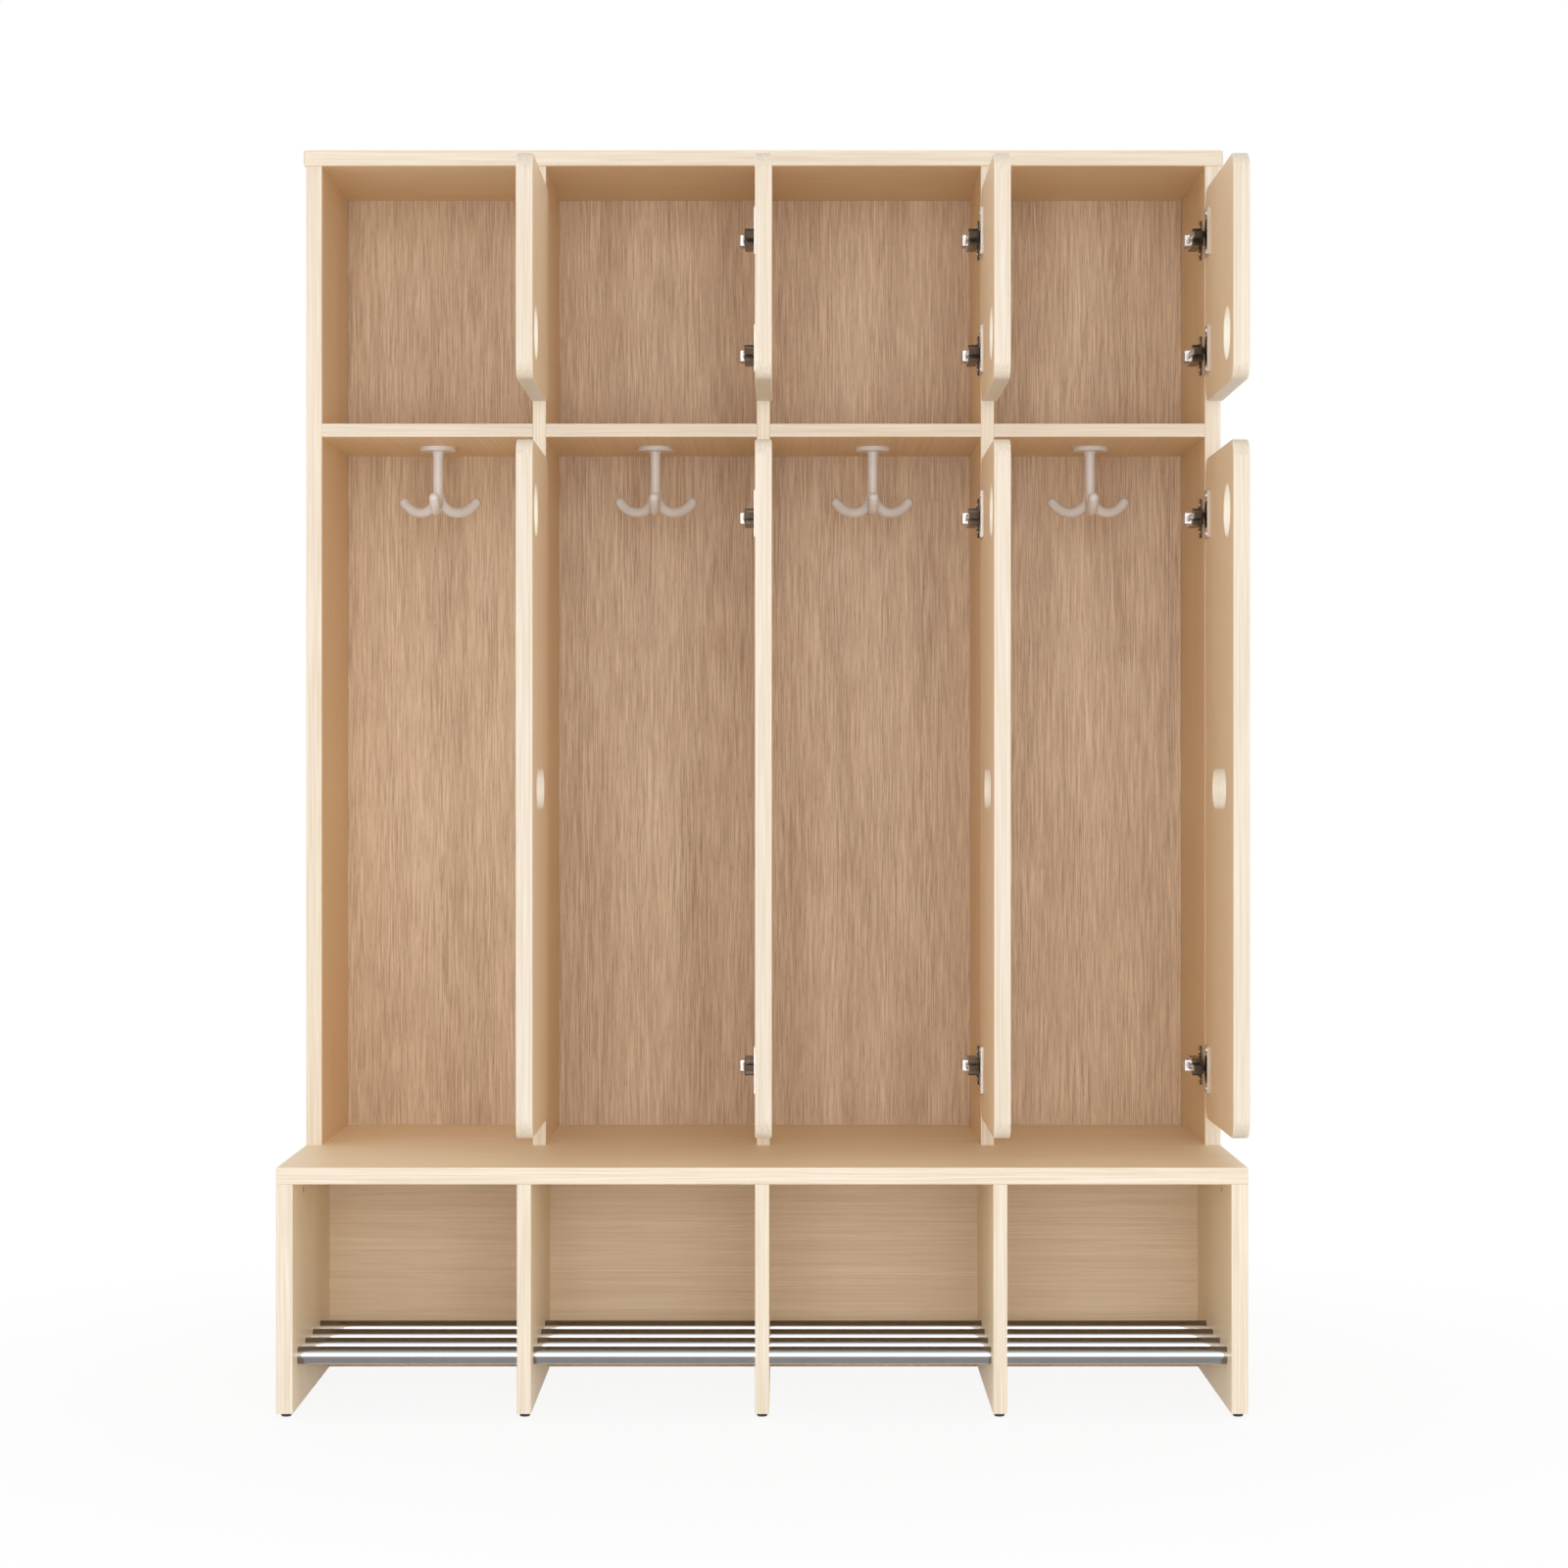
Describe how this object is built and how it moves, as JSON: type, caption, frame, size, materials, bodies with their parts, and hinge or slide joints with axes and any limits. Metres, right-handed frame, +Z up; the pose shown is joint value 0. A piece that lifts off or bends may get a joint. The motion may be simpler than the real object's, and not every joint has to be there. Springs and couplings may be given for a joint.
{
  "type": "cloakroom bench",
  "caption": "Cloakroom bench: a low seat over shoe rails, with lockers standing on its back, each with a hat shelf, a coat hook and hinged upper and lower doors.",
  "frame": {"origin": "on the floor, under the middle of the box around the bench with its doors open as pictured", "axes": "+X to the right along the bench, +Y from the seat towards the wall behind, +Z up"},
  "size_m": [1.106, 0.5314, 1.48],
  "materials": {
    "birch_board": "satin laminate",
    "birch_door": "satin laminate",
    "back_board": "satin laminate",
    "bench_back_board": "satin laminate",
    "beech_dowel": "bare",
    "cream_plastic": "moulded",
    "black_plastic": "moulded",
    "chrome_tube": "polished",
    "nickel_hinge": "plated",
    "zinc_fitting": "zinc plated",
    "cam_zinc": "die cast"
  },
  "bodies": {
    "carcass": {"back_panel": "back_board", "back_screws": "zinc_fitting", "bench_back_1": "bench_back_board", "bench_back_2": "bench_back_board", "bench_back_3": "bench_back_board", "bench_back_4": "bench_back_board", "cam_bolts": "zinc_fitting", "cam_locks": "cam_zinc", "coat_hook_1": "cream_plastic", "coat_hook_2": "cream_plastic", "coat_hook_3": "cream_plastic", "coat_hook_4": "cream_plastic", "divider_1": "birch_board", "divider_2": "birch_board", "divider_3": "birch_board", "dowels": "beech_dowel", "foot_glides": "black_plastic", "hinge_arms": "nickel_hinge", "hinge_plates": "nickel_hinge", "hinge_screws": "zinc_fitting", "hook_studs": "zinc_fitting", "leg_inner_1": "birch_board", "leg_inner_2": "birch_board", "leg_inner_3": "birch_board", "leg_left": "birch_board", "leg_right": "birch_board", "seat_board": "birch_board", "shelf_1": "birch_board", "shelf_2": "birch_board", "shelf_3": "birch_board", "shelf_4": "birch_board", "shoe_rail_1": "chrome_tube", "shoe_rail_2": "chrome_tube", "shoe_rail_3": "chrome_tube", "shoe_rail_4": "chrome_tube", "side_panel_left": "birch_board", "side_panel_right": "birch_board", "top_board": "birch_board"},
    "upper_leaf_1": {"upper_door_1": "birch_door", "upper_door_1_hinge_cups": "nickel_hinge"},
    "upper_leaf_2": {"upper_door_2": "birch_door", "upper_door_2_hinge_cups": "nickel_hinge"},
    "upper_leaf_3": {"upper_door_3": "birch_door", "upper_door_3_hinge_cups": "nickel_hinge"},
    "upper_leaf_4": {"upper_door_4": "birch_door", "upper_door_4_hinge_cups": "nickel_hinge"},
    "lower_leaf_1": {"lower_door_1": "birch_door", "lower_door_1_hinge_cups": "nickel_hinge"},
    "lower_leaf_2": {"lower_door_2": "birch_door", "lower_door_2_hinge_cups": "nickel_hinge"},
    "lower_leaf_3": {"lower_door_3": "birch_door", "lower_door_3_hinge_cups": "nickel_hinge"},
    "lower_leaf_4": {"lower_door_4": "birch_door", "lower_door_4_hinge_cups": "nickel_hinge"}
  },
  "joints": [
    {"name": "upper_door_1_hinge", "type": "hinge", "parent": "carcass", "child": "upper_leaf_1", "pos_m": [-0.2675, -0.00775, 1.30415], "axis": [0, 0, 1], "range_deg": [-90, 10]},
    {"name": "upper_door_2_hinge", "type": "hinge", "parent": "carcass", "child": "upper_leaf_2", "pos_m": [0.002, -0.00775, 1.30415], "axis": [0, 0, 1], "range_deg": [-90, 10]},
    {"name": "upper_door_3_hinge", "type": "hinge", "parent": "carcass", "child": "upper_leaf_3", "pos_m": [0.2715, -0.00775, 1.30415], "axis": [0, 0, 1], "range_deg": [-90, 10]},
    {"name": "upper_door_4_hinge", "type": "hinge", "parent": "carcass", "child": "upper_leaf_4", "pos_m": [0.541, -0.00775, 1.30415], "axis": [0, 0, 1], "range_deg": [-90, 10]},
    {"name": "lower_door_1_hinge", "type": "hinge", "parent": "carcass", "child": "lower_leaf_1", "pos_m": [-0.2675, -0.00775, 0.71255], "axis": [0, 0, 1], "range_deg": [-90, 10]},
    {"name": "lower_door_2_hinge", "type": "hinge", "parent": "carcass", "child": "lower_leaf_2", "pos_m": [0.002, -0.00775, 0.71255], "axis": [0, 0, 1], "range_deg": [-90, 10]},
    {"name": "lower_door_3_hinge", "type": "hinge", "parent": "carcass", "child": "lower_leaf_3", "pos_m": [0.2715, -0.00775, 0.71255], "axis": [0, 0, 1], "range_deg": [-90, 10]},
    {"name": "lower_door_4_hinge", "type": "hinge", "parent": "carcass", "child": "lower_leaf_4", "pos_m": [0.541, -0.00775, 0.71255], "axis": [0, 0, 1], "range_deg": [-90, 10]}
  ]
}
